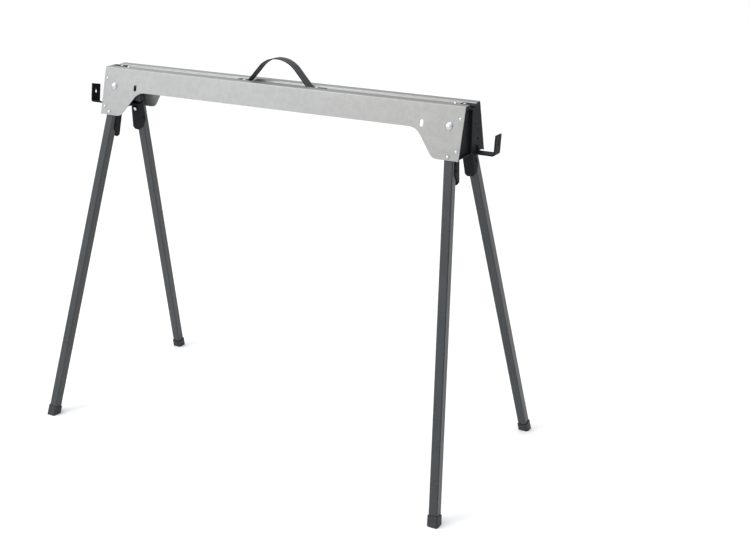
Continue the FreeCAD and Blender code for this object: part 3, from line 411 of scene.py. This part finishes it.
def build_spring(joint):
    """Coil spring round a lock pin's tail."""
    leg = joint["name"].removeprefix("draw_")
    node = f"lock_spring_{leg}"
    low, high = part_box(node)
    centre = (low + high) / 2
    inward = Vector(joint["axis"]).normalized()
    across = inward.cross(Vector((1, 0, 0))).normalized()
    upward = inward.cross(across)
    length = SPRING_LENGTH
    ring = WIRE_CORNERS
    total = SPRING_COILS * COIL_STEPS
    vertices = []
    for step in range(total + 1):
        turn = step / COIL_STEPS * math.tau
        outward = across * math.cos(turn) + upward * math.sin(turn)
        share = step / total
        rise = (share - 0.5) * (length - 2 * WIRE_RADIUS)
        spot = centre + outward * SPRING_RADIUS + inward * rise
        for corner in range(ring):
            angle = corner / ring * math.tau
            side = outward * math.cos(angle) + inward * math.sin(angle)
            vertices.append(spot + side * WIRE_RADIUS)
    faces = []
    for step in range(total):
        for corner in range(ring):
            after = (corner + 1) % ring
            faces.append((step * ring + corner, step * ring + after,
                          (step + 1) * ring + after, (step + 1) * ring + corner))
    faces.append(tuple(range(ring))[::-1])
    faces.append(tuple(range(total * ring, (total + 1) * ring)))
    mesh = bpy.data.meshes.new(f"coil_{leg}")
    mesh.from_pydata(vertices, [], faces)
    mesh.polygons.foreach_set("use_smooth", [True] * len(mesh.polygons))
    mesh.update()
    spring = bpy.data.objects.new(f"coil_{leg}", mesh)
    scene.collection.objects.link(spring)
    spring.data.materials.append(finishes["spring_steel"])
    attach(spring, f"leg_{leg}")
    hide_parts(node)
    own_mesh(spring)


for joint in frame["record"]["behaviour"]["joints"]:
    if joint["name"].startswith("draw_"):
        build_spring(joint)


# ---------------------------------------------------------------- floor, light and camera

FLOOR_REACH = 40.0
BRIGHT_SIDE = (-0.66, -0.50, 0.55)
WORLD_STOPS = [
    (0.0, (0.22, 0.24, 0.28)),
    (0.42, (0.54, 0.56, 0.60)),
    (0.70, (1.15, 1.15, 1.15)),
    (1.0, (1.7, 1.7, 1.7)),
]
CAMERA_PLACE = (1.38703, -2.09993, 1.26531)
CAMERA_AZIMUTH = 28.694
CAMERA_PITCH = 19.60
CAMERA_ROLL = 0.412
SENSOR_WIDTH = 36.0
FOCAL_LENGTH = 55.835


def build_floor():
    mesh = bpy.data.meshes.new("floor")
    reach = FLOOR_REACH
    corners = [(-reach, -reach, 0), (reach, -reach, 0), (reach, reach, 0), (-reach, reach, 0)]
    mesh.from_pydata(corners, [], [(0, 1, 2, 3)])
    floor = bpy.data.objects.new("floor", mesh)
    scene.collection.objects.link(floor)
    finish = Finish("floor", roughness=0.9)
    paper = finish.noise(3.0, 3.0)
    finish.colour(finish.ramp(paper, [(0.3, 0.90), (0.7, 0.92)]))
    floor.data.materials.append(finish.material)


def softbox(name, place, target, size, power):
    light = bpy.data.lights.new(name, "AREA")
    light.shape = "RECTANGLE"
    light.size, light.size_y = size
    light.energy = power
    lamp = bpy.data.objects.new(name, light)
    lamp.location = place
    lamp.rotation_euler = (Vector(target) - Vector(place)).to_track_quat("-Z", "Y").to_euler()
    scene.collection.objects.link(lamp)


def build_world():
    """Surround that is brightest over the camera's left shoulder; the backdrop itself is white."""
    world = bpy.data.worlds.new("studio")
    world.use_nodes = True
    tree = world.node_tree
    background = tree.nodes["Background"]
    direction = tree.nodes.new("ShaderNodeTexCoord").outputs["Generated"]
    toward = tree.nodes.new("ShaderNodeVectorMath")
    toward.operation = "DOT_PRODUCT"
    toward.inputs[1].default_value = Vector(BRIGHT_SIDE).normalized()
    tree.links.new(direction, toward.inputs[0])
    ramp = tree.nodes.new("ShaderNodeValToRGB")
    set_stops(ramp, WORLD_STOPS)
    share = tree.nodes.new("ShaderNodeMath")
    share.operation = "MULTIPLY_ADD"
    share.inputs[1].default_value = 0.5
    share.inputs[2].default_value = 0.5
    tree.links.new(toward.outputs["Value"], share.inputs[0])
    tree.links.new(share.outputs["Value"], ramp.inputs["Fac"])
    seen = tree.nodes.new("ShaderNodeLightPath").outputs["Is Camera Ray"]
    blend = tree.nodes.new("ShaderNodeMix")
    blend.data_type = "RGBA"
    socket(blend.inputs, "B_Color").default_value = (1.0, 1.0, 1.0, 1.0)
    tree.links.new(seen, socket(blend.inputs, "Factor_Float"))
    tree.links.new(ramp.outputs["Color"], socket(blend.inputs, "A_Color"))
    tree.links.new(socket(blend.outputs, "Result_Color"), background.inputs["Color"])
    background.inputs["Strength"].default_value = 1.0
    scene.world = world
    scene.view_settings.view_transform = "Standard"


def build_camera():
    azimuth = math.radians(CAMERA_AZIMUTH)
    pitch = math.radians(CAMERA_PITCH)
    roll = math.radians(CAMERA_ROLL)
    level = Vector((-math.sin(azimuth), math.cos(azimuth), 0))
    forward = level * math.cos(pitch) - Vector((0, 0, math.sin(pitch)))
    right = Vector((math.cos(azimuth), math.sin(azimuth), 0))
    up = right.cross(forward)
    across = right * math.cos(roll) + up * math.sin(roll)
    upward = up * math.cos(roll) - right * math.sin(roll)
    data = bpy.data.cameras.new("camera")
    data.sensor_width = SENSOR_WIDTH
    data.lens = FOCAL_LENGTH
    camera = bpy.data.objects.new("camera", data)
    turn = Matrix((across, upward, -forward)).transposed().to_4x4()
    camera.matrix_world = Matrix.Translation(CAMERA_PLACE) @ turn
    scene.collection.objects.link(camera)
    scene.camera = camera


build_floor()
build_world()
build_camera()
softbox("key", place=(-1.6, -2.2, 2.6), target=(0, 0, 0.6), size=(1.6, 1.6), power=34)
softbox("top", place=(0.3, 0.4, 3.2), target=(0, 0, 0.6), size=(2.4, 1.6), power=10)
